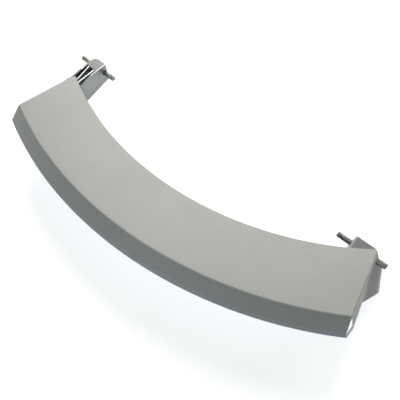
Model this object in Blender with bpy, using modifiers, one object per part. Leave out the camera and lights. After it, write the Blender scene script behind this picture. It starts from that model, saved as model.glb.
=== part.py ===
"""Appliance door handle: a crescent grip with a sloped face, on a bright frame whose two
ribbed arms hold the hinge pins.

+X runs along the hinge pins, from the long arm to the short one. +Z is the way the face
looks, and +Y runs from the grip towards the middle of the door. The origin is on the pins'
line, halfway between the arms. Metres and degrees.
"""

import math

import bmesh
import bpy
from mathutils import Vector

# The face is part of a shallow cone round the middle of the door. The chord between the ends
# of its outer edge is longer than the arm spacing by the overhang at each end, and its place
# is that of the middle of that edge.
FACE_OUTER_RADIUS = 0.245
FACE_WIDTH = 0.040
FACE_DISH = 0.0101
FACE_OVERHANG = 0.01275
FACE_TURN = 5.1
LEFT_END_SPLAY = 5.0
RIGHT_END_SPLAY = 5.6
FACE_PLACE_X = 0.0090
FACE_PLACE_Y = -0.0820
FACE_EDGE_HEIGHT = 0.0196

# Front cover, a moulded shell with a short lip along its inner edge
COVER_WALL = 0.0015
COVER_LIP = 0.0004
OUTER_WALL_DROP = 0.0093
OUTER_WALL_FLARE = 0.0082
END_WALL_SLOPE = 0.42
COVER_EDGE_ROUND = 0.0011
CORNER_TRIM_WALL = 0.0018
CORNER_TRIM_END = 0.0085
TIP_TRIM = 0.0016
FACE_CROWN = 0.0003

# Back frame: a flange that closes the cover, and a ribbed pan behind it
FIT_GAP = 0.0003
FLANGE_THICKNESS = 0.0012
FLANGE_PROUD = 0.0004
FLANGE_LIP = 0.0004
GRIP_DEPTH = 0.0110
PAN_WIDTH = 0.035
PAN_WALL = 0.0020
PAN_DRAFT = 0.0012
PAN_END_INSET = 0.0020
POCKET_COUNT = 8
POCKET_RIB = 0.0016
POCKET_LEFT_MARGIN = 0.0079
POCKET_RIGHT_MARGIN = 0.0193

# Arms, one at each end of the frame, open at the front between two walls. The outer wall
# leans outward to the back, and runs on behind the arm as a cheek with a pointed heel.
ARM_SPACING = 0.203
LEFT_ARM_WIDTH = 0.0149
RIGHT_ARM_WIDTH = 0.0176
ARM_INNER_WALL = 0.0011
ARM_OUTER_WALL = 0.0012
ARM_FLOOR = 0.0022
ARM_SET_BACK = 0.00025
ARM_NOSE = 0.0026
ARM_NOSE_DEPTH = 0.0068
LEFT_CORNER_ROUND = 0.0032
RIGHT_CORNER_ROUND = 0.0012
ARM_EDGE_ROUND = 0.0010
CHEEK_EDGE_ROUND = 0.0012
ARM_LENGTH = 0.0250
ARM_BACK_SLOPE = 0.19
ARM_ROOT_SLOPE = 1.10
LEFT_ARM_SLOPE = 0.60
RIGHT_ARM_SLOPE = 0.70
LEFT_RIM_FALL = 0.19
RIGHT_RIM_FALL = 0.0
ARM_RIM_START = 0.0088
ARM_RIM_END = 0.0232
CHEEK_WALL = 0.0024
HEEL_BACK = 0.0189
HEEL_DOWN = 0.0059
HEEL_SLOPE = 0.487
HEEL_TURN = 0.107
HEEL_FOLD_SLOPE = 1.10
HEEL_RETURN = 0.0154
HEEL_RETURN_IN = 0.0065
CHEEK_STEP = 0.0005
PIN_BLOCK = 0.0090
HOLLOW_LENGTH = 0.0148
STRAIGHT_RIB = 0.0010
STRAIGHT_RIB_PLACE = 0.0027
LEANING_RIB = 0.0009
LEANING_RIB_START = 0.0081
LEANING_RIB_END = 0.0050
RIB_SET_BACK = 0.0004

# Hinge pins
PIN_RADIUS = 0.0017
PIN_LENGTH = 0.0320
PIN_INNER_STUB = 0.0088
PIN_CHAMFER = 0.0004
PIN_GROOVE_DEPTH = 0.00015
PIN_GROOVE_WIDTH = 0.0006
PIN_GROOVES = 2

# Fineness of the round surfaces, and how far cutters reach past what they cut
ARC_STEP = 1.4
PIN_SIDES = 32
ROUND_SEGMENTS = 3
CROWN_STEPS = 4
REACH = 0.030
WELD_DISTANCE = 0.000002

SIDES = ((-1, "left"), (1, "right"))
END_SPLAY = {-1: LEFT_END_SPLAY, 1: RIGHT_END_SPLAY}


def clear_scene():
    for obj in list(bpy.data.objects):
        bpy.data.objects.remove(obj, do_unlink=True)


def new_collection(name):
    collection = bpy.data.collections.new(name)
    bpy.context.scene.collection.children.link(collection)
    return collection


def make_material(name, colour, roughness, metallic):
    material = bpy.data.materials.new(name)
    material.use_nodes = True
    shader = material.node_tree.nodes["Principled BSDF"]
    shader.inputs["Base Color"].default_value = (*colour, 1.0)
    shader.inputs["Roughness"].default_value = roughness
    shader.inputs["Metallic"].default_value = metallic
    return material


def cover_material():
    return make_material("matt_silver_moulding", (0.46, 0.46, 0.43), 0.5, 0.2)


def frame_material():
    return make_material("bright_plated_moulding", (0.55, 0.56, 0.56), 0.2, 0.9)


def pin_material():
    return make_material("drawn_steel", (0.42, 0.42, 0.41), 0.3, 1.0)


def object_from_bmesh(bm, name, collection):
    mesh = bpy.data.meshes.new(name)
    bm.normal_update()
    bmesh.ops.recalc_face_normals(bm, faces=bm.faces)
    bm.to_mesh(mesh)
    bm.free()
    obj = bpy.data.objects.new(name, mesh)
    collection.objects.link(obj)
    return obj


def as_cutter(obj):
    obj.hide_render = True
    obj.display_type = "WIRE"
    return obj


def add_boolean(obj, other, operation):
    modifier = obj.modifiers.new(f"{operation.lower()}_{other.name}", "BOOLEAN")
    modifier.operation = operation
    modifier.solver = "EXACT"
    modifier.object = other
    weld = obj.modifiers.new(f"weld_{other.name}", "WELD")
    weld.merge_threshold = WELD_DISTANCE


def add_bevel(obj, width, angle):
    modifier = obj.modifiers.new("soft_edges", "BEVEL")
    modifier.width = width
    modifier.segments = ROUND_SEGMENTS
    modifier.limit_method = "ANGLE"
    modifier.angle_limit = math.radians(angle)
    modifier.miter_outer = "MITER_ARC"


# Places on the crescent: a radius and an angle from the line that runs down from the
# middle of the door, with the face's own middle FACE_TURN round from that line.
FACE_INNER_RADIUS = FACE_OUTER_RADIUS - FACE_WIDTH
RIM_RADIUS = FACE_OUTER_RADIUS + OUTER_WALL_FLARE
FACE_CHORD = ARM_SPACING + 2 * FACE_OVERHANG
HALF_SPAN = math.degrees(math.asin(FACE_CHORD / 2 / FACE_OUTER_RADIUS))
TURN = math.radians(FACE_TURN)
DOOR_CENTRE = Vector((FACE_PLACE_X, FACE_PLACE_Y, 0.0))
DOOR_CENTRE += FACE_OUTER_RADIUS * Vector((-math.sin(TURN), math.cos(TURN), 0.0))


def arc_point(radius, angle, height):
    turn = math.radians(angle)
    return DOOR_CENTRE + Vector((radius * math.sin(turn), -radius * math.cos(turn), height))


def face_height(radius):
    return FACE_EDGE_HEIGHT - FACE_DISH * (FACE_OUTER_RADIUS - radius) / FACE_WIDTH


def roof_height(radius):
    slant = math.hypot(FACE_WIDTH, FACE_DISH) / FACE_WIDTH
    return face_height(radius) - COVER_WALL * slant


def rim_height(radius):
    inner = roof_height(FACE_INNER_RADIUS) - COVER_LIP
    outer = FACE_EDGE_HEIGHT - OUTER_WALL_DROP
    share = (radius - FACE_INNER_RADIUS) / (RIM_RADIUS - FACE_INNER_RADIUS)
    return inner + (outer - inner) * share


def flange_top(radius):
    return rim_height(radius) - FIT_GAP


def pan_floor(radius):
    return face_height(radius) - GRIP_DEPTH


ARM_FRONT = flange_top(FACE_INNER_RADIUS) - ARM_SET_BACK


def end_plane(side, outward):
    """A point and the outward normal of the sloped end wall, moved outward by a distance."""
    splayed = FACE_TURN + side * (HALF_SPAN + END_SPLAY[side])
    inner = arc_point(FACE_INNER_RADIUS, splayed, face_height(FACE_INNER_RADIUS))
    outer = arc_point(FACE_OUTER_RADIUS, FACE_TURN + side * HALF_SPAN, FACE_EDGE_HEIGHT)
    along = outer - inner
    flat = Vector((along.y, -along.x, 0.0)).normalized()
    if flat.x * side < 0:
        flat = -flat
    down = flat * END_WALL_SLOPE - Vector((0.0, 0.0, 1.0))
    normal = along.cross(down).normalized()
    if normal.x * side < 0:
        normal = -normal
    return inner + normal * outward, normal


def end_walls(outward):
    return [end_plane(side, outward) for side, _ in SIDES]


def corner_flat(side, outward):
    """The flat that trims the corner of the two walls, widest at the rim and nothing at the face."""
    angle = FACE_TURN + side * HALF_SPAN
    turn = math.radians(angle)
    top = arc_point(FACE_OUTER_RADIUS, angle, FACE_EDGE_HEIGHT)
    inner_angle = angle + side * END_SPLAY[side]
    along_end = arc_point(FACE_INNER_RADIUS, inner_angle, FACE_EDGE_HEIGHT) - top
    along_wall = Vector((math.cos(turn), math.sin(turn), 0.0)) * -side
    wall = Vector((math.sin(turn), -math.cos(turn), OUTER_WALL_FLARE / OUTER_WALL_DROP))
    down = end_plane(side, 0.0)[1].cross(wall)
    corner = top - down * (OUTER_WALL_DROP / down.z)
    first = corner + along_wall * CORNER_TRIM_WALL
    second = corner + along_end.normalized() * CORNER_TRIM_END
    normal = (first - top).cross(second - top).normalized()
    if normal.x * side < 0:
        normal = -normal
    return top + normal * outward, normal


def tip_flat(side, outward):
    """The upright flat that trims the sharp tip between the inner edge and the end wall."""
    angle = FACE_TURN + side * (HALF_SPAN + END_SPLAY[side])
    turn = math.radians(angle)
    tip = arc_point(FACE_INNER_RADIUS, angle, 0.0)
    along_edge = Vector((math.cos(turn), math.sin(turn), 0.0)) * -side
    along_end = arc_point(FACE_OUTER_RADIUS, FACE_TURN + side * HALF_SPAN, 0.0) - tip
    normal = -(along_edge + along_end.normalized()).normalized()
    return tip + normal * (outward - TIP_TRIM), normal


def shell_ends(outward):
    """Both end walls and both trimmed corners, all moved outward by a distance."""
    return end_walls(outward) + [corner_flat(side, outward) for side, _ in SIDES]


def upright_end_plane(side, inset):
    """The same end, with an upright wall under the edge of the face."""
    point, normal = end_plane(side, 0.0)
    flat = Vector((normal.x, normal.y, 0.0)).normalized()
    return point - flat * inset, flat


def close_holes(bm):
    edges = [edge for edge in bm.edges if edge.is_boundary]
    bmesh.ops.holes_fill(bm, edges=edges, sides=0)


def cut_away(bm, point, normal):
    """Removes what lies beyond the plane, and closes the mesh there."""
    everything = bm.verts[:] + bm.edges[:] + bm.faces[:]
    on_plane = {"dist": 1e-7, "plane_co": point, "plane_no": normal}
    bmesh.ops.bisect_plane(bm, geom=everything, clear_outer=True, **on_plane)
    close_holes(bm)


def sweep(section, first_angle, last_angle):
    """A closed section of (radius, height) points, carried round the middle of the door."""
    bm = bmesh.new()
    ring = [bm.verts.new(arc_point(radius, first_angle, height)) for radius, height in section]
    edges = [bm.edges.new((ring[i - 1], ring[i])) for i in range(len(ring))]
    steps = math.ceil((last_angle - first_angle) / ARC_STEP)
    bmesh.ops.spin(
        bm,
        geom=ring + edges,
        cent=DOOR_CENTRE,
        axis=(0.0, 0.0, 1.0),
        angle=math.radians(last_angle - first_angle),
        steps=steps,
    )
    close_holes(bm)
    return bm


def sweep_to_ends(section, planes):
    """The sweep, run past both ends and cut there by the end planes."""
    past = HALF_SPAN + 3 * RIGHT_END_SPLAY
    bm = sweep(section, FACE_TURN - past, FACE_TURN + past)
    for point, normal in planes:
        cut_away(bm, point, normal)
    return bm


def face_crown(radius):
    share = (radius - FACE_INNER_RADIUS) / FACE_WIDTH
    return face_height(radius) + 4 * FACE_CROWN * share * (1 - share)


def wall_radius(height, inset):
    """Radius of the flared outer wall at a height, or of the surface inset from it."""
    lean = OUTER_WALL_FLARE / OUTER_WALL_DROP
    outside = FACE_OUTER_RADIUS + (FACE_EDGE_HEIGHT - height) * lean
    return outside - inset * math.hypot(1.0, lean)


def build_flat_cutter(flat, name, cutters):
    point, normal = flat
    bm = bmesh.new()
    bmesh.ops.create_cube(bm, size=REACH)
    for vert in bm.verts:
        vert.co += point
    cut_away(bm, point, -normal)
    return as_cutter(object_from_bmesh(bm, name, cutters))


def build_front_cover(parts, cutters):
    """A solid of the cover's outside gets soft edges, then its rim is cut and its inside taken out."""
    low = FACE_EDGE_HEIGHT - OUTER_WALL_DROP - 2 * GRIP_DEPTH
    radii = [FACE_INNER_RADIUS + FACE_WIDTH * i / CROWN_STEPS for i in range(CROWN_STEPS + 1)]
    outside = [(radius, face_crown(radius)) for radius in radii]
    outside += [(wall_radius(low, 0.0), low), (FACE_INNER_RADIUS, low)]
    cover = object_from_bmesh(sweep_to_ends(outside, end_walls(0.0)), "front_cover", parts)
    add_bevel(cover, COVER_EDGE_ROUND, 30)

    far_in = FACE_INNER_RADIUS - REACH
    far_out = RIM_RADIUS + REACH
    under = [(radius, rim_height(radius)) for radius in (far_in, far_out)]
    under += [(far_out, -REACH), (far_in, -REACH)]
    rim_cut = object_from_bmesh(sweep_to_ends(under, end_walls(REACH)), "cut_cover_rim", cutters)
    add_boolean(cover, as_cutter(rim_cut), "DIFFERENCE")

    for side, label in SIDES:
        corner = build_flat_cutter(corner_flat(side, 0.0), f"cut_{label}_corner", cutters)
        add_boolean(cover, corner, "DIFFERENCE")
        tip = build_flat_cutter(tip_flat(side, 0.0), f"cut_{label}_tip", cutters)
        add_boolean(cover, tip, "DIFFERENCE")

    # The roof of the hollow meets the inside of the outer wall where both are one wall deep,
    # a place found by going back and forth between the two until it stays still.
    top = roof_height(FACE_OUTER_RADIUS)
    for _ in range(20):
        top = roof_height(wall_radius(top, COVER_WALL))
    lip = FACE_INNER_RADIUS + COVER_WALL
    hollow = [
        (lip, roof_height(lip)),
        (wall_radius(top, COVER_WALL), top),
        (wall_radius(-REACH, COVER_WALL), -REACH),
        (lip, -REACH),
    ]
    inside = sweep_to_ends(hollow, shell_ends(-COVER_WALL))
    hollow_cut = object_from_bmesh(inside, "cut_cover_hollow", cutters)
    add_boolean(cover, as_cutter(hollow_cut), "DIFFERENCE")
    cover.data.materials.append(cover_material())
    return cover


def build_flange():
    inner = FACE_INNER_RADIUS + FLANGE_PROUD
    outer = RIM_RADIUS + FLANGE_PROUD
    section = [
        (inner, flange_top(inner)),
        (outer, flange_top(outer)),
        (outer, flange_top(outer) - FLANGE_THICKNESS),
        (inner, flange_top(inner) - FLANGE_THICKNESS),
    ]
    tips = [tip_flat(side, FLANGE_PROUD) for side, _ in SIDES]
    return sweep_to_ends(section, shell_ends(FLANGE_PROUD) + tips)


def build_pan():
    inner = FACE_INNER_RADIUS + FLANGE_PROUD + FLANGE_LIP
    outer = inner + PAN_WIDTH
    inside = flange_top(inner) - FLANGE_THICKNESS / 2
    outside = flange_top(outer) - FLANGE_THICKNESS / 2
    section = [
        (inner, inside),
        (outer, outside),
        (outer, pan_floor(outer)),
        (inner + PAN_DRAFT, pan_floor(inner + PAN_DRAFT)),
    ]
    return sweep_to_ends(section, [upright_end_plane(side, PAN_END_INSET) for side, _ in SIDES])


def build_pockets(cutters):
    """The pan's pockets, open at the front, with a rib left between each two."""
    inner = FACE_INNER_RADIUS + FLANGE_PROUD + FLANGE_LIP + PAN_WALL
    outer = inner + PAN_WIDTH - 2 * PAN_WALL
    draft = PAN_DRAFT
    section = [
        (inner, face_height(inner)),
        (outer, face_height(outer)),
        (outer, pan_floor(outer) + PAN_WALL),
        (inner + draft, pan_floor(inner + draft) + PAN_WALL),
    ]
    rib_angle = math.degrees(POCKET_RIB / FACE_INNER_RADIUS)
    start = FACE_TURN - HALF_SPAN + math.degrees(POCKET_LEFT_MARGIN / FACE_INNER_RADIUS)
    end = FACE_TURN + HALF_SPAN - math.degrees(POCKET_RIGHT_MARGIN / FACE_INNER_RADIUS)
    pitch = (end - start + rib_angle) / POCKET_COUNT
    whole = bmesh.new()
    for i in range(POCKET_COUNT):
        first = start + i * pitch
        pocket = sweep(section, first, first + pitch - rib_angle)
        mesh = bpy.data.meshes.new("pocket")
        pocket.to_mesh(mesh)
        pocket.free()
        whole.from_mesh(mesh)
        bpy.data.meshes.remove(mesh)
    return as_cutter(object_from_bmesh(whole, "cut_pan_pockets", cutters))


ARM_INNER = ARM_SPACING / 2


def outer_side(shape, inset):
    """The arm's leaning outer side, or a plane inset from it: a point and the outward normal."""
    shift = inset * math.hypot(1.0, shape["slope"])
    return Vector((ARM_INNER + shape["width"] - shift, 0.0, 0.0)), Vector((1.0, 0.0, shape["slope"]))


def back_front(along, inset):
    """The height of the arm's back, which runs deeper towards the grip."""
    return -ARM_NOSE_DEPTH - ARM_BACK_SLOPE * (ARM_NOSE - along) + inset


def climb(start, slope, along):
    """The height of an edge that climbs towards the grip from a (place, height) start."""
    return start[1] + slope * (start[0] - along)


def outline_block(outline, near, far):
    """A closed outline of (place along Y, height) points, carried along X."""
    bm = bmesh.new()
    face = bm.faces.new([bm.verts.new((near, along, height)) for along, height in outline])
    grown = bmesh.ops.extrude_face_region(bm, geom=[face])
    for item in grown["geom"]:
        if isinstance(item, bmesh.types.BMVert):
            item.co.x = far
    return bm


def round_edges(bm, edges, width, steps):
    bmesh.ops.bevel(bm, geom=edges, offset=width, segments=steps, profile=0.5, affect="EDGES")


def round_nose(bm, shape):
    """The outer corner of the nose is rounded, then the edges round the nose and the front."""
    corner = []
    for edge in bm.edges:
        ends = [vert.co for vert in edge.verts]
        on_nose = all(abs(co.y - ARM_NOSE) < 1e-6 for co in ends)
        on_side = all(abs(co.x + shape["slope"] * co.z - ARM_INNER - shape["width"]) < 1e-6 for co in ends)
        if on_nose and on_side:
            corner.append(edge)
    round_edges(bm, corner, shape["corner"], 2 * ROUND_SEGMENTS)
    picked = []
    for edge in bm.edges:
        ends = [vert.co for vert in edge.verts]
        on_front = all(abs(co.z - ARM_FRONT) < 1e-6 for co in ends)
        on_nose = all(abs(co.y - ARM_NOSE) < 1e-6 for co in ends)
        inside = all(abs(co.x - ARM_INNER) < 1e-6 for co in ends)
        near_grip = max(co.y for co in ends) < -ARM_RIM_START + 1e-6
        if (on_front and not near_grip) or (on_nose and inside):
            picked.append(edge)
    round_edges(bm, picked, ARM_EDGE_ROUND, ROUND_SEGMENTS)
    back = []
    for edge in bm.edges:
        ends = [vert.co for vert in edge.verts]
        on_side = all(abs(co.x + shape["slope"] * co.z - ARM_INNER - shape["width"]) < 1e-6 for co in ends)
        low = all(co.z < -ARM_NOSE_DEPTH for co in ends)
        if on_side and low and max(co.y for co in ends) > HEEL[0] + 1e-6:
            back.append(edge)
    round_edges(bm, back, CHEEK_EDGE_ROUND, ROUND_SEGMENTS)


def mirrored(bm, side):
    for vert in bm.verts:
        vert.co.x *= side
    return bm


BACK_CORNER = (ARM_NOSE - ARM_LENGTH, back_front(ARM_NOSE - ARM_LENGTH, 0.0))
HEEL = (-HEEL_DOWN, -HEEL_BACK)
HOLLOW_START = ARM_NOSE - PIN_BLOCK


def arm_outline(fall):
    """The arm from the side, with the heel; its last points lie inside the pan."""
    crossing = HEEL[0]
    while climb(HEEL, HEEL_SLOPE, crossing) < back_front(crossing, -CHEEK_STEP):
        crossing -= 0.00005
    corner = (BACK_CORNER[0], BACK_CORNER[1] - CHEEK_STEP)
    far = corner[0] - (ARM_FRONT - ARM_FLOOR - corner[1]) / ARM_ROOT_SLOPE
    outline = [(ARM_NOSE, ARM_FRONT)]
    if fall:
        low = ARM_FRONT - fall * (ARM_RIM_END - ARM_RIM_START)
        outline += [(-ARM_RIM_START, ARM_FRONT), (-ARM_RIM_END, low), (-ARM_RIM_END, ARM_FRONT)]
    outline += [(far, ARM_FRONT), (far, ARM_FRONT - ARM_FLOOR), corner]
    outline += [(crossing, back_front(crossing, -CHEEK_STEP)), HEEL]
    return outline + [(ARM_NOSE, -ARM_NOSE_DEPTH - CHEEK_STEP)]


def behind_arm(shape):
    """What lies behind the arm, between the cheek and the middle of the door."""
    near = BACK_CORNER[0] - REACH
    outline = [
        (REACH, back_front(REACH, 0.0)),
        BACK_CORNER,
        (near, climb(BACK_CORNER, ARM_ROOT_SLOPE, near)),
        (near, -3 * REACH),
        (REACH, -3 * REACH),
    ]
    bm = outline_block(outline, ARM_INNER - REACH, ARM_INNER + 2 * REACH)
    cut_away(bm, *outer_side(shape, CHEEK_WALL))
    return bm


def arm_hollow(shape):
    """The space between the arm's walls, open at the front."""
    far = HOLLOW_START - HOLLOW_LENGTH
    outline = [
        (HOLLOW_START, REACH),
        (HOLLOW_START, back_front(HOLLOW_START, ARM_FLOOR)),
        (far, back_front(far, ARM_FLOOR)),
        (far, REACH),
    ]
    bm = outline_block(outline, ARM_INNER + ARM_INNER_WALL, ARM_INNER + 2 * REACH)
    cut_away(bm, *outer_side(shape, ARM_OUTER_WALL))
    return bm


def arm_rib(thickness, start, end):
    """An upright rib along the hollow; start and end are its distances from the arm's inner side."""
    into = 0.0010
    near = HOLLOW_START + into
    far = HOLLOW_START - HOLLOW_LENGTH - into
    outline = [
        (near, ARM_FRONT - RIB_SET_BACK),
        (near, back_front(near, ARM_FLOOR / 2)),
        (far, back_front(far, ARM_FLOOR / 2)),
        (far, ARM_FRONT - RIB_SET_BACK),
    ]
    bm = outline_block(outline, ARM_INNER - thickness / 2, ARM_INNER + thickness / 2)
    for vert in bm.verts:
        vert.co.x += start if vert.co.y > HOLLOW_START else end
    return bm


def build_bore(side, label, cutters):
    bm = bmesh.new()
    radius = PIN_RADIUS + FIT_GAP
    depth = 2 * PIN_LENGTH
    sizes = {"radius1": radius, "radius2": radius, "depth": depth}
    bmesh.ops.create_cone(bm, cap_ends=True, segments=PIN_SIDES, **sizes)
    for vert in bm.verts:
        vert.co = Vector((vert.co.z + side * ARM_INNER, vert.co.y, -vert.co.x))
    return as_cutter(object_from_bmesh(bm, f"cut_{label}_bore", cutters))


def build_arm(frame, side, label, shape, cutters):
    """Joins one arm to the frame; the shapes are made for the right side and mirrored for the left."""

    def helper(bm, name):
        return as_cutter(object_from_bmesh(mirrored(bm, side), name, cutters))

    slope = shape["slope"]
    body = outline_block(arm_outline(shape["fall"]), ARM_INNER, ARM_INNER + 2 * REACH)
    cut_away(body, *outer_side(shape, 0.0))
    heel = Vector((ARM_INNER + shape["width"] + slope * HEEL_BACK, *HEEL))
    cut_away(body, heel, Vector((1.0, -HEEL_TURN, slope - HEEL_TURN / HEEL_FOLD_SLOPE)))
    turn_in = heel + Vector((-HEEL_RETURN_IN, -HEEL_RETURN, 0.0))
    cut_away(body, turn_in, Vector((1.0, -1.0, 0.0)))
    round_nose(body, shape)
    arm = helper(body, f"{label}_arm")
    add_boolean(arm, helper(behind_arm(shape), f"cut_{label}_behind"), "DIFFERENCE")
    add_boolean(frame, arm, "UNION")
    add_boolean(frame, helper(arm_hollow(shape), f"cut_{label}_hollow"), "DIFFERENCE")
    straight = arm_rib(STRAIGHT_RIB, STRAIGHT_RIB_PLACE, STRAIGHT_RIB_PLACE)
    add_boolean(frame, helper(straight, f"{label}_straight_rib"), "UNION")
    leaning = arm_rib(LEANING_RIB, LEANING_RIB_START, LEANING_RIB_END)
    add_boolean(frame, helper(leaning, f"{label}_leaning_rib"), "UNION")
    add_boolean(frame, build_bore(side, label, cutters), "DIFFERENCE")


def build_back_frame(parts, cutters):
    frame = object_from_bmesh(build_pan(), "back_frame", parts)
    flange = as_cutter(object_from_bmesh(build_flange(), "frame_flange", cutters))
    add_boolean(frame, flange, "UNION")
    add_boolean(frame, build_pockets(cutters), "DIFFERENCE")
    left = {
        "width": LEFT_ARM_WIDTH,
        "slope": LEFT_ARM_SLOPE,
        "fall": LEFT_RIM_FALL,
        "corner": LEFT_CORNER_ROUND,
    }
    right = {
        "width": RIGHT_ARM_WIDTH,
        "slope": RIGHT_ARM_SLOPE,
        "fall": RIGHT_RIM_FALL,
        "corner": RIGHT_CORNER_ROUND,
    }
    for (side, label), shape in zip(SIDES, (left, right)):
        build_arm(frame, side, label, shape, cutters)
    frame.data.materials.append(frame_material())
    return frame


def pin_profile():
    """Half of a pin's outline, from one end to the other, as (radius, distance along it)."""
    neck = PIN_RADIUS - PIN_GROOVE_DEPTH
    profile = [(0.0, 0.0), (PIN_RADIUS - PIN_CHAMFER, 0.0), (PIN_RADIUS, PIN_CHAMFER)]
    place = 2 * PIN_CHAMFER + PIN_GROOVE_WIDTH / 2
    for _ in range(PIN_GROOVES):
        profile += [(PIN_RADIUS, place), (neck, place), (neck, place + PIN_GROOVE_WIDTH)]
        profile += [(PIN_RADIUS, place + PIN_GROOVE_WIDTH)]
        place += 2 * PIN_GROOVE_WIDTH
    profile += [(PIN_RADIUS, PIN_LENGTH - PIN_CHAMFER), (PIN_RADIUS - PIN_CHAMFER, PIN_LENGTH)]
    return profile + [(0.0, PIN_LENGTH)]


def build_pin(side, label, parts):
    """A turned steel pin. Its grooved end is the one that looks at the other arm."""
    name = f"{label}_pin"
    mesh = bpy.data.meshes.new(name)
    points = [(radius, 0.0, -along) for radius, along in pin_profile()]
    mesh.from_pydata(points, [(i, i + 1) for i in range(len(points) - 1)], [])
    pin = bpy.data.objects.new(name, mesh)
    parts.objects.link(pin)
    screw = pin.modifiers.new("turned", "SCREW")
    screw.axis = "Z"
    screw.angle = math.tau
    screw.steps = PIN_SIDES
    screw.render_steps = PIN_SIDES
    screw.use_merge_vertices = True
    screw.merge_threshold = 0.00001
    screw.use_smooth_shade = True
    pin.location = (side * (ARM_INNER - PIN_INNER_STUB), 0.0, 0.0)
    pin.rotation_euler = (0.0, -side * math.pi / 2, 0.0)
    pin.data.materials.append(pin_material())
    return pin


def main():
    clear_scene()
    parts = new_collection("appliance_door_handle")
    cutters = new_collection("cutters")
    cutters.hide_render = True
    build_front_cover(parts, cutters)
    build_back_frame(parts, cutters)
    for side, label in SIDES:
        build_pin(side, label, parts)


main()
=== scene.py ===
import math

import bmesh
import bpy
import numpy as np
from mathutils import Matrix, Vector


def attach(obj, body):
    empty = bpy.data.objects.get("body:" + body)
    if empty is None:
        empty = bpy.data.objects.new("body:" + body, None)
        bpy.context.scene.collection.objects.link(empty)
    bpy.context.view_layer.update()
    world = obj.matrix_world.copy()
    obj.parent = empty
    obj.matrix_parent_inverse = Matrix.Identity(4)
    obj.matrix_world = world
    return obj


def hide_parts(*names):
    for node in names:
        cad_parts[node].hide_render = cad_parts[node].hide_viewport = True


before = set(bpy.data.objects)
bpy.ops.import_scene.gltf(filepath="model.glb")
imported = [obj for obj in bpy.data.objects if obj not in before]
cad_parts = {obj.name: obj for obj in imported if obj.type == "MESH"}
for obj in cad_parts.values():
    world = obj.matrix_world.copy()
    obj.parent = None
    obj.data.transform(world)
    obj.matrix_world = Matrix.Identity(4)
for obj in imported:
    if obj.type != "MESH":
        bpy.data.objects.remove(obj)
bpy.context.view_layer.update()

print("frame:", ", ".join(sorted(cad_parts)))


# Colours and nodes.

def linear(hexColour):
    # sRGB to linear light, the same curve for each channel
    shares = [int(hexColour[i:i + 2], 16) / 255 for i in (1, 3, 5)]
    curve = [s / 12.92 if s <= 0.04045 else ((s + 0.055) / 1.055) ** 2.4 for s in shares]
    return (*curve, 1.0)


def addNode(tree, kind, inputs=None, **settings):
    # A term of inputs that is another node's output is linked, and any other is set as a value.
    node = tree.nodes.new(kind)
    for key, value in settings.items():
        setattr(node, key, value)
    for socket, term in (inputs or {}).items():
        if isinstance(term, bpy.types.NodeSocket):
            tree.links.new(term, node.inputs[socket])
        else:
            node.inputs[socket].default_value = term
    return node


def newMaterial(name, values):
    material = bpy.data.materials.new(name)
    material.use_nodes = True
    tree = material.node_tree
    shader = tree.nodes["Principled BSDF"]
    for socket, value in values.items():
        shader.inputs[socket].default_value = value
    place = addNode(tree, "ShaderNodeTexCoord").outputs["Object"]
    return material, tree, shader, place


def blendAreas(tree, look, spans, areas, colour, metallic, rough):
    # A span rises from 0 to 1 between two values of its source. An area is where all its spans
    # overlap, its finish is in look, and a later area lies over an earlier one. A Mix node
    # takes its share in socket 0, numbers in 2 and 3, and colours in 6 and 7, and gives a
    # mixed colour at output 2.
    shares = {}
    for name, (source, (start, end)) in spans.items():
        span = addNode(tree, "ShaderNodeMapRange", {"Value": source, "From Min": start, "From Max": end})
        shares[name] = span.outputs[0]
    for area, names in areas.items():
        share = shares[names[0]]
        for name in names[1:]:
            both = addNode(tree, "ShaderNodeMath", {0: share, 1: shares[name]}, operation="MULTIPLY")
            share = both.outputs[0]
        finish = look[area]
        tint = linear(finish["colour"])
        colour = addNode(tree, "ShaderNodeMix", {0: share, 6: colour, 7: tint}, data_type="RGBA").outputs[2]
        metallic = addNode(tree, "ShaderNodeMix", {0: share, 2: metallic, 3: finish["metallic"]}).outputs[0]
        rough = addNode(tree, "ShaderNodeMix", {0: share, 2: rough, 3: finish["roughness"]}).outputs[0]
    return colour, metallic, rough


# Camera, fitted to the outlines, the corners and the pins' ends in the photo.

cameraFit = {
    "place": (0.08606, -0.11994, 0.21911),
    "right": (0.76825, 0.64013, 0.00555),
    "down": (0.57429, -0.68535, -0.44775),
    "forward": (-0.28282, 0.34717, -0.89414),
    "lens": 36.152,
    "sensor": 36.0,
    "nearest": 0.01,
    "farthest": 20.0,
}


def makeCamera(fit):
    data = bpy.data.cameras.new("photoCamera")
    data.lens = fit["lens"]
    data.sensor_width = fit["sensor"]
    data.clip_start = fit["nearest"]
    data.clip_end = fit["farthest"]
    camera = bpy.data.objects.new("photoCamera", data)
    axes = [Vector(fit["right"]), -Vector(fit["down"]), -Vector(fit["forward"])]
    turn = Matrix(axes).transposed().to_4x4()
    camera.matrix_world = Matrix.Translation(fit["place"]) @ turn
    bpy.context.scene.collection.objects.link(camera)
    bpy.context.scene.camera = camera


# Finishes. Sizes are in metres. A pair is where a blend starts and where it is complete, and
# for a roughness or a pin's colours it is the two ends that the pattern runs between.

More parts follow.
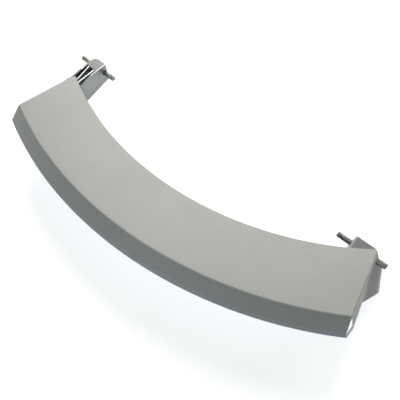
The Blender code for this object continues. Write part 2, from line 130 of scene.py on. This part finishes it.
coverFinish = {
    "base": "#b2b2ac",
    "light": "#bcbcb6",
    "metallic": 0.05,
    "roughness": 0.50,
    "roughSpread": 0.05,
    "ior": 1.50,
    "flake": 0.0004,
    "flakeShare": 0.35,
    "cloud": 0.030,
    "cloudDetail": 3.0,
    "tone": (0.35, 1.0),
    "peel": 0.0012,
    "peelDetail": 4.0,
    "peelDepth": 0.00005,
    "peelStrength": 0.25,
    # painted highlight: a near-white mirror on the trimmed corner flats
    "trimmedCornerHighlight": {"colour": "#e4e7ea", "metallic": 1.0, "roughness": 0.16},
    "sideways": (0.80, 0.88),
    "trimTurn": (0.03, -0.02),
    # painted highlight: the lowest millimetre of the wall painted paler and cooler
    "lipHighlight": {"colour": "#c0c8c8", "metallic": 0.05, "roughness": 0.45},
    "lipHeight": (0.0120, 0.0108),
    "wallTurn": (-0.2, -0.4),
    "lipStart": (-0.060, 0.010),
}


def silverLacquer(look):
    # Matt silver lacquer sprayed on a moulded ABS cover: an even grey with a soft sheen, a
    # fine glitter of flakes that only shows close up, and a faint cloudiness from spraying.
    # The trimmed corner at each end gets a near-white mirror as a painted highlight, mirroring the
    # pale surface below it, and the wall's lower lip is painted paler and cooler as a highlight.
    material, tree, shader, place = newMaterial("silverLacqueredAbs", {"IOR": look["ior"]})

    # Real flakes are about 0.03 mm; they are drawn coarser so that they show at all.
    flakes = addNode(tree, "ShaderNodeTexVoronoi", {"Scale": 1 / look["flake"], "Vector": place})
    flakeTone = addNode(tree, "ShaderNodeSeparateColor", {"Color": flakes.outputs["Color"]}).outputs
    clouds = addNode(tree, "ShaderNodeTexNoise", {
        "Scale": 1 / look["cloud"],
        "Detail": look["cloudDetail"],
        "Vector": place,
    })
    tone = addNode(tree, "ShaderNodeMath", {
        0: flakeTone[0],
        1: look["flakeShare"],
        2: clouds.outputs["Fac"],
    }, operation="MULTIPLY_ADD")
    start, end = look["tone"]
    lightness = addNode(tree, "ShaderNodeMapRange", {
        "Value": tone.outputs[0],
        "From Min": start,
        "From Max": end,
    })
    colour = addNode(tree, "ShaderNodeMix", {
        0: lightness.outputs[0],
        6: linear(look["base"]),
        7: linear(look["light"]),
    }, data_type="RGBA").outputs[2]
    rough = addNode(tree, "ShaderNodeMapRange", {
        "Value": flakeTone[1],
        "To Min": look["roughness"] - look["roughSpread"],
        "To Max": look["roughness"] + look["roughSpread"],
    }).outputs[0]

    # The trimmed corners look outward along the pins and a little towards the crescent. The
    # flat's own normal tells them apart, because the shading blends them with the end wall.
    normal = addNode(tree, "ShaderNodeNewGeometry").outputs["True Normal"]
    facing = addNode(tree, "ShaderNodeSeparateXYZ", {"Vector": normal}).outputs
    sideways = addNode(tree, "ShaderNodeMath", {0: facing["X"]}, operation="ABSOLUTE").outputs[0]
    at = addNode(tree, "ShaderNodeSeparateXYZ", {"Vector": place}).outputs
    spans = {
        "sideways": (sideways, look["sideways"]),
        "trimTurn": (facing["Y"], look["trimTurn"]),
        "lipHeight": (at["Z"], look["lipHeight"]),
        "wallTurn": (facing["Y"], look["wallTurn"]),
        "lipStart": (at["X"], look["lipStart"]),
    }
    # both areas are painted highlights
    areas = {
        "lipHighlight": ("lipHeight", "wallTurn", "lipStart"),
        "trimmedCornerHighlight": ("sideways", "trimTurn"),
    }
    colour, metallic, rough = blendAreas(tree, look, spans, areas, colour, look["metallic"], rough)

    orangePeel = addNode(tree, "ShaderNodeTexNoise", {
        "Scale": 1 / look["peel"],
        "Detail": look["peelDetail"],
        "Vector": place,
    })
    bump = addNode(tree, "ShaderNodeBump", {
        "Strength": look["peelStrength"],
        "Distance": look["peelDepth"],
        "Height": orangePeel.outputs["Fac"],
    })
    tree.links.new(colour, shader.inputs["Base Color"])
    tree.links.new(metallic, shader.inputs["Metallic"])
    tree.links.new(rough, shader.inputs["Roughness"])
    tree.links.new(bump.outputs["Normal"], shader.inputs["Normal"])
    return material


frameFinish = {
    "base": "#9fa2a2",
    "light": "#aeb1b1",
    "metallic": 0.40,
    "roughness": (0.21, 0.32),
    "cloud": 0.012,
    "cloudDetail": 5.0,
    "tone": (0.35, 0.65),
    # painted shade: the right arm's outer face darker and matt
    "rightCheekShade": {"colour": "#7e807e", "metallic": 0.05, "roughness": 0.36},
    # painted highlight along the right arm's rounded far edge
    "roundedEdgeHighlight": {"colour": "#c2cbc9", "metallic": 0.20, "roughness": 0.30},
    # painted shade: the right arm's tip darker and matt
    "rightTipShade": {"colour": "#929492", "metallic": 0.05, "roughness": 0.36},
    # painted highlight: the flange rim near white
    "rimHighlight": {"colour": "#e6f0f8", "metallic": 0.05, "roughness": 0.25},
    "sprayed": {"colour": "#b4b4ae", "metallic": 0.05, "roughness": 0.46},
    # painted highlight: a near-white mirror on the rib tops
    "ribTopHighlight": {"colour": "#f4f5f6", "metallic": 1.0, "roughness": 0.20},
    # painted highlight: a near-white mirror on the left arm's inner edge, over part of its length
    "innerEdgeHighlight": {"colour": "#f4f5f6", "metallic": 1.0, "roughness": 0.20},
    "forward": (0.80, 0.97),
    "turned": (0.25, 0.45),
    "outward": (-0.7, -0.4),
    "nearEdge": (0.0038, 0.0085),
    "edgeSlope": -0.869,
    "armStart": 0.0995,
    "edgeShine": (-0.0110, -0.0080),
    "rimShine": (-0.0140, -0.0300),
    "ripple": 0.009,
    "rippleDetail": 1.0,
    "rippleDepth": 0.00006,
    "rippleStrength": 0.35,
    "ribSetBack": 0.0004,
    "rimRise": 0.0008,
    "noseStart": 0.0011,
    "blur": 0.0001,
}


def brightPlating(look, armFront):
    # Bright silver plating on a moulded ABS frame: clear soft-edged reflections that bend a
    # little, because the plating copies the moulding's faint sink marks and flow lines. The left
    # arm's nose is matt like the cover. The right arm's outer face and tip are painted darker and
    # greyer as shade, its rounded far edge is painted paler as a highlight, and the rib tops, the
    # rim and the left arm's inner edge get a near-white mirror finish as painted highlights.
    material, tree, shader, place = newMaterial("brightPlatedAbs", {})
    clouds = addNode(tree, "ShaderNodeTexNoise", {
        "Scale": 1 / look["cloud"],
        "Detail": look["cloudDetail"],
        "Vector": place,
    })
    start, end = look["tone"]
    tone = addNode(tree, "ShaderNodeMapRange", {
        "Value": clouds.outputs["Fac"],
        "From Min": start,
        "From Max": end,
    }).outputs[0]
    colour = addNode(tree, "ShaderNodeMix", {
        0: tone,
        6: linear(look["base"]),
        7: linear(look["light"]),
    }, data_type="RGBA").outputs[2]
    smooth, rougher = look["roughness"]
    rough = addNode(tree, "ShaderNodeMix", {0: tone, 2: smooth, 3: rougher}).outputs[0]

    # The cheek's far edge runs down and towards the crescent, so y plus slope times z finds it.
    at = addNode(tree, "ShaderNodeSeparateXYZ", {"Vector": place}).outputs
    edgeDistance = addNode(tree, "ShaderNodeMath", {
        0: at["Z"],
        1: look["edgeSlope"],
        2: at["Y"],
    }, operation="MULTIPLY_ADD").outputs[0]
    normal = addNode(tree, "ShaderNodeNewGeometry").outputs["Normal"]
    facing = addNode(tree, "ShaderNodeSeparateXYZ", {"Vector": normal}).outputs
    blur, armStart = look["blur"], look["armStart"]
    edgeLevel = armFront - look["ribSetBack"]
    rimLevel = armFront + look["rimRise"]
    spans = {
        "forward": (facing["Z"], look["forward"]),
        "turnedUp": (facing["Z"], look["turned"]),
        "turnedIn": (facing["X"], look["turned"]),
        "outward": (facing["X"], look["outward"]),
        "nearEdge": (edgeDistance, look["nearEdge"]),
        "edgeShine": (at["Y"], look["edgeShine"]),
        "rimShine": (at["Y"], look["rimShine"]),
        "leftArm": (at["X"], (-armStart, -armStart - blur)),
        "rightArm": (at["X"], (armStart, armStart + blur)),
        "atFront": (at["Z"], (armFront - 2 * blur, armFront - blur)),
        "belowFront": (at["Z"], (armFront - blur, armFront - 2 * blur)),
        "atEdges": (at["Z"], (edgeLevel - 2 * blur, edgeLevel - blur)),
        "aboveRim": (at["Z"], (rimLevel, rimLevel + blur)),
        "belowRim": (at["Z"], (rimLevel + blur, rimLevel)),
    }
    # the right arm's darker face and tip are painted shade; the paler and mirror areas, all but the matt
    # nose, are painted highlights
    areas = {
        "rightCheekShade": ("rightArm", "outward"),
        "roundedEdgeHighlight": ("rightArm", "outward", "nearEdge", "belowRim"),
        "rightTipShade": ("rightArm", "forward", "belowRim"),
        "rimHighlight": ("aboveRim", "rimShine"),
        "sprayed": ("forward", "atFront", "leftArm"),
        "ribTopHighlight": ("forward", "atEdges", "belowFront"),
        "innerEdgeHighlight": ("turnedIn", "turnedUp", "leftArm", "edgeShine"),
    }
    colour, metallic, rough = blendAreas(tree, look, spans, areas, colour, look["metallic"], rough)

    ripple = addNode(tree, "ShaderNodeTexNoise", {
        "Scale": 1 / look["ripple"],
        "Detail": look["rippleDetail"],
        "Vector": place,
    })
    bump = addNode(tree, "ShaderNodeBump", {
        "Strength": look["rippleStrength"],
        "Distance": look["rippleDepth"],
        "Height": ripple.outputs["Fac"],
    })
    tree.links.new(colour, shader.inputs["Base Color"])
    tree.links.new(metallic, shader.inputs["Metallic"])
    tree.links.new(rough, shader.inputs["Roughness"])
    tree.links.new(bump.outputs["Normal"], shader.inputs["Normal"])
    return material


def frontOfArms(nodeName, beyond):
    # the level of the arms' fronts: the highest point past the grip, where only the arms are
    points = np.zeros(len(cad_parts[nodeName].data.vertices) * 3, np.float32)
    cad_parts[nodeName].data.vertices.foreach_get("co", points)
    points = points.reshape(-1, 3)
    return float(points[points[:, 1] > beyond, 2].max())


pinFinish = {
    "leftPin": ("#3f403e", "#a5a49e"),
    # painted shade: the right pin's colours darker than the left's
    "shadedRightPin": ("#313332", "#838583"),
    "sideBlur": 0.001,
    "metallic": 1.0,
    "tone": (0.32, 0.68),
    "roughness": (0.24, 0.40),
    "lineSpacing": 0.00060,
    "lineLength": 0.009,
    "lineDetail": 3.0,
    "lineDepth": 0.00003,
    "lineStrength": 0.30,
}


def drawnSteel(look):
    # Steel wire drawn through a die: long fine lines that run with the pin, lighter and
    # darker side by side. Real lines are some 0.05 mm apart and are drawn coarser to show.
    # The right pin's colours are darker, as painted shade.
    material, tree, shader, place = newMaterial("drawnSteelWire", {"Metallic": look["metallic"]})
    across = 1 / look["lineSpacing"]
    stretch = addNode(tree, "ShaderNodeMapping", {
        "Scale": (1 / look["lineLength"], across, across),
        "Vector": place,
    })
    lines = addNode(tree, "ShaderNodeTexNoise", {
        "Scale": 1.0,
        "Detail": look["lineDetail"],
        "Vector": stretch.outputs["Vector"],
    })
    start, end = look["tone"]
    tone = addNode(tree, "ShaderNodeMapRange", {
        "Value": lines.outputs["Fac"],
        "From Min": start,
        "From Max": end,
    }).outputs[0]
    colours = []
    for pin in ("leftPin", "shadedRightPin"):
        dark, light = (linear(tint) for tint in look[pin])
        shaded = addNode(tree, "ShaderNodeMix", {0: tone, 6: dark, 7: light}, data_type="RGBA")
        colours.append(shaded.outputs[2])
    at = addNode(tree, "ShaderNodeSeparateXYZ", {"Vector": place}).outputs
    onRight = addNode(tree, "ShaderNodeMapRange", {"Value": at["X"], "From Max": look["sideBlur"]})
    colour = addNode(tree, "ShaderNodeMix", {
        0: onRight.outputs[0],
        6: colours[0],
        7: colours[1],
    }, data_type="RGBA")
    smooth, rougher = look["roughness"]
    rough = addNode(tree, "ShaderNodeMix", {0: tone, 2: smooth, 3: rougher})
    bump = addNode(tree, "ShaderNodeBump", {
        "Strength": look["lineStrength"],
        "Distance": look["lineDepth"],
        "Height": lines.outputs["Fac"],
    })
    tree.links.new(colour.outputs[2], shader.inputs["Base Color"])
    tree.links.new(rough.outputs[0], shader.inputs["Roughness"])
    tree.links.new(bump.outputs["Normal"], shader.inputs["Normal"])
    return material


# Pieces.

def meshPiece(name, vertices, faces, material, smoothAngle):
    # a mesh of the given points and faces, shaded smooth except where it turns more sharply
    mesh = bpy.data.meshes.new(name)
    mesh.from_pydata(vertices.tolist(), [], faces)
    mesh.polygons.foreach_set("use_smooth", [True] * len(mesh.polygons))
    mesh.set_sharp_from_angle(angle=math.radians(smoothAngle))
    mesh.materials.append(material)
    piece = bpy.data.objects.new(name, mesh)
    bpy.context.scene.collection.objects.link(piece)
    return piece


coverPiece = {
    "mergeWithin": 1e-6,
    "smoothAngle": 32,
    "edgeRadius": 0.00012,
    "edgeSteps": 2,
    "edgeAngle": 40,
    "flatWeight": 100,
}

framePiece = {
    "mergeWithin": 1e-6,
    "smoothAngle": 32,
    "edgeRadius": 0.00012,
    "edgeSteps": 2,
    "edgeAngle": 35,
    "flatWeight": 100,
}


def mouldedCopy(nodeName, name, material, look):
    # The CAD solid with its loose triangles merged, and a fine radius on every sharp edge, as
    # a mould leaves it.
    work = bmesh.new()
    work.from_mesh(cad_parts[nodeName].data)
    bmesh.ops.remove_doubles(work, verts=work.verts, dist=look["mergeWithin"])
    work.verts.ensure_lookup_table()
    work.verts.index_update()
    vertices = np.array([v.co[:] for v in work.verts])
    faces = [[v.index for v in f.verts] for f in work.faces]
    work.free()
    piece = meshPiece(name, vertices, faces, material, look["smoothAngle"])
    edge = piece.modifiers.new("mouldedEdge", "BEVEL")
    edge.width = look["edgeRadius"]
    edge.segments = look["edgeSteps"]
    edge.limit_method = "ANGLE"
    edge.angle_limit = math.radians(look["edgeAngle"])
    edge.use_clamp_overlap = False
    # flat areas keep one normal, and the fine radii take up the turn between them
    weigh = piece.modifiers.new("flatsStayFlat", "WEIGHTED_NORMAL")
    weigh.mode = "FACE_AREA_WITH_ANGLE"
    weigh.weight = look["flatWeight"]
    weigh.keep_sharp = True
    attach(piece, "root")
    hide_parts(nodeName)
    return piece


pinPiece = {
    "innerEnd": 0.0927,
    "length": 0.0320,
    "radius": 0.0017,
    "tipRadius": 0.0004,
    "tipSteps": 5,
    "ringStart": 0.0009,
    "ringPitch": 0.0006,
    "rings": 4,
    "ringDepth": 0.00012,
    "ringSteps": 12,
    "plainSteps": 12,
    "sides": 96,
    "smoothAngle": 40,
}


def pinOutline(size):
    # Radius against distance from the ringed end: both tips are rounded by a quarter circle,
    # and between the rings the radius dips by half a sine wave.
    tip = np.linspace(0.0, size["tipRadius"], size["tipSteps"])
    ringEnd = size["ringStart"] + size["ringPitch"] * size["rings"]
    ringed = np.linspace(size["ringStart"], ringEnd, size["ringSteps"] * size["rings"] + 1)
    plain = np.linspace(ringEnd, size["length"] - size["tipRadius"], size["plainSteps"])[1:]
    along = np.concatenate([tip, ringed, plain, size["length"] - tip[::-1][1:]])
    phase = (along - size["ringStart"]) / size["ringPitch"] * math.pi
    inside = (along > size["ringStart"]) & (along < ringEnd)
    depth = np.where(inside, np.abs(np.sin(phase)) * size["ringDepth"], 0.0)
    fromEnd = np.minimum(along, size["length"] - along)
    share = np.clip(fromEnd / size["tipRadius"], 0.0, 1.0)
    radius = size["radius"] - size["tipRadius"] * (1.0 - np.sqrt(1.0 - (1.0 - share) ** 2)) - depth
    return along, radius


def makePin(side, label, material, size):
    # The outline turned round the X axis: x is the place along the hinge line, and y and z are
    # the radius times the cosine and sine of the turn. One point closes each end. The left
    # pin is the right one turned half round the Y axis, so both have their rings inside.
    along, radius = pinOutline(size)
    turn = np.arange(size["sides"]) * math.tau / size["sides"]
    x = side * (size["innerEnd"] + along)
    y = radius[:, None] * np.cos(turn)
    z = radius[:, None] * np.sin(turn) * side
    wall = np.stack([np.broadcast_to(x[:, None], y.shape), y, z], axis=-1).reshape(-1, 3)
    ends = np.array([[x[0], 0.0, 0.0], [x[-1], 0.0, 0.0]])
    vertices = np.concatenate([wall, ends])
    rows, sides = len(along), size["sides"]
    i, j = np.meshgrid(np.arange(rows - 1), np.arange(sides), indexing="ij")
    k = (j + 1) % sides
    here, above = i * sides, (i + 1) * sides
    quads = np.stack([above + j, above + k, here + k, here + j], axis=-1).reshape(-1, 4)
    around = np.arange(sides)
    after = (around + 1) % sides
    last = (rows - 1) * sides
    first = np.stack([around, after, np.full(sides, rows * sides)], axis=-1)
    final = np.stack([last + after, last + around, np.full(sides, rows * sides + 1)], axis=-1)
    faces = quads.tolist() + first.tolist() + final.tolist()
    piece = meshPiece(f"{label}TurnedPin", vertices, faces, material, size["smoothAngle"])
    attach(piece, "root")
    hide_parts(f"{label}_pin")
    return piece


# Floor and light.

studio = {
    "floorHeight": -0.0200,
    "floorSize": 3.4,
    "floorSmoothAngle": 30,
    "floorColour": "#f4f4f4",
    "glowColour": "#ffffff",
    "floorRoughness": 0.9,
    "floorGlow": 0.75,
    "sky": 0.08,
    "lamps": {
        "key": {"place": (-0.8, 1.1, 1.1), "size": 1.0, "power": 18.5, "colour": "#fffffd"},
        "front": {"place": (0.0, -0.9, 0.42), "size": 0.6, "power": 1.20, "colour": "#dbf4ff"},
        "back": {"place": (0.1, 1.4, 0.7), "size": 1.0, "power": 5.0, "colour": "#f8ffff"},
    },
}


def seenDirectly(tree):
    # 1 for what the camera sees, straight or in a gloss or through glass, and 0 for the rest
    path = addNode(tree, "ShaderNodeLightPath")
    either = path.outputs["Is Camera Ray"]
    for ray in ("Is Glossy Ray", "Is Transmission Ray"):
        larger = addNode(tree, "ShaderNodeMath", {0: either, 1: path.outputs[ray]}, operation="MAXIMUM")
        either = larger.outputs[0]
    return either


def makeFloor(look):
    # A pale square that keeps the object's shadow. Its glow is seen by the camera and in
    # reflections: it whitens the background, and adds no soft light to the object.
    half = look["floorSize"] / 2
    corners = np.array([[-1, -1, 0], [1, -1, 0], [1, 1, 0], [-1, 1, 0]]) * half
    corners[:, 2] = look["floorHeight"]
    material, tree, shader, _ = newMaterial("paleFloor", {
        "Base Color": linear(look["floorColour"]),
        "Roughness": look["floorRoughness"],
        "Specular IOR Level": 0.0,
        "Emission Color": linear(look["glowColour"]),
    })
    glow = addNode(tree, "ShaderNodeMath", {
        0: seenDirectly(tree),
        1: look["floorGlow"],
    }, operation="MULTIPLY")
    tree.links.new(glow.outputs[0], shader.inputs["Emission Strength"])
    floor = meshPiece("floor", corners, [[0, 1, 2, 3]], material, look["floorSmoothAngle"])


def makeSky(look):
    # white where it is seen directly or mirrored, and a faint even light for the rest
    world = bpy.data.worlds.new("studio")
    bpy.context.scene.world = world
    world.use_nodes = True
    tree = world.node_tree
    background = tree.nodes["Background"]
    background.inputs["Color"].default_value = linear(look["glowColour"])
    seen = addNode(tree, "ShaderNodeMapRange", {
        "Value": seenDirectly(tree),
        "To Min": look["sky"],
        "To Max": 1.0,
    })
    tree.links.new(seen.outputs[0], background.inputs["Strength"])


def makeLamp(name, lamp):
    # a round soft lamp that faces the middle of the object
    data = bpy.data.lights.new(name, "AREA")
    data.shape = "DISK"
    data.size = lamp["size"]
    data.energy = lamp["power"]
    data.color = linear(lamp["colour"])[:3]
    holder = bpy.data.objects.new(name, data)
    holder.location = lamp["place"]
    holder.rotation_mode = "QUATERNION"
    holder.rotation_quaternion = (-Vector(lamp["place"])).to_track_quat("-Z", "Y")
    bpy.context.scene.collection.objects.link(holder)


for leftOver in [o for o in bpy.data.objects if o.type in {"LIGHT", "CAMERA"}]:
    bpy.data.objects.remove(leftOver)
makeCamera(cameraFit)
print("camera in place")

coverMaterial = silverLacquer(coverFinish)
frameMaterial = brightPlating(frameFinish, frontOfArms("back_frame", frameFinish["noseStart"]))
steelMaterial = drawnSteel(pinFinish)
print("finishes made")

cover = mouldedCopy("front_cover", "lacqueredCover", coverMaterial, coverPiece)
backFrame = mouldedCopy("back_frame", "platedFrame", frameMaterial, framePiece)
for side, label in ((-1, "left"), (1, "right")):
    makePin(side, label, steelMaterial, pinPiece)

makeFloor(studio)
makeSky(studio)
for name, lamp in studio["lamps"].items():
    makeLamp(f"{name}Lamp", lamp)
bpy.context.scene.view_settings.view_transform = "Standard"
print("studio made")
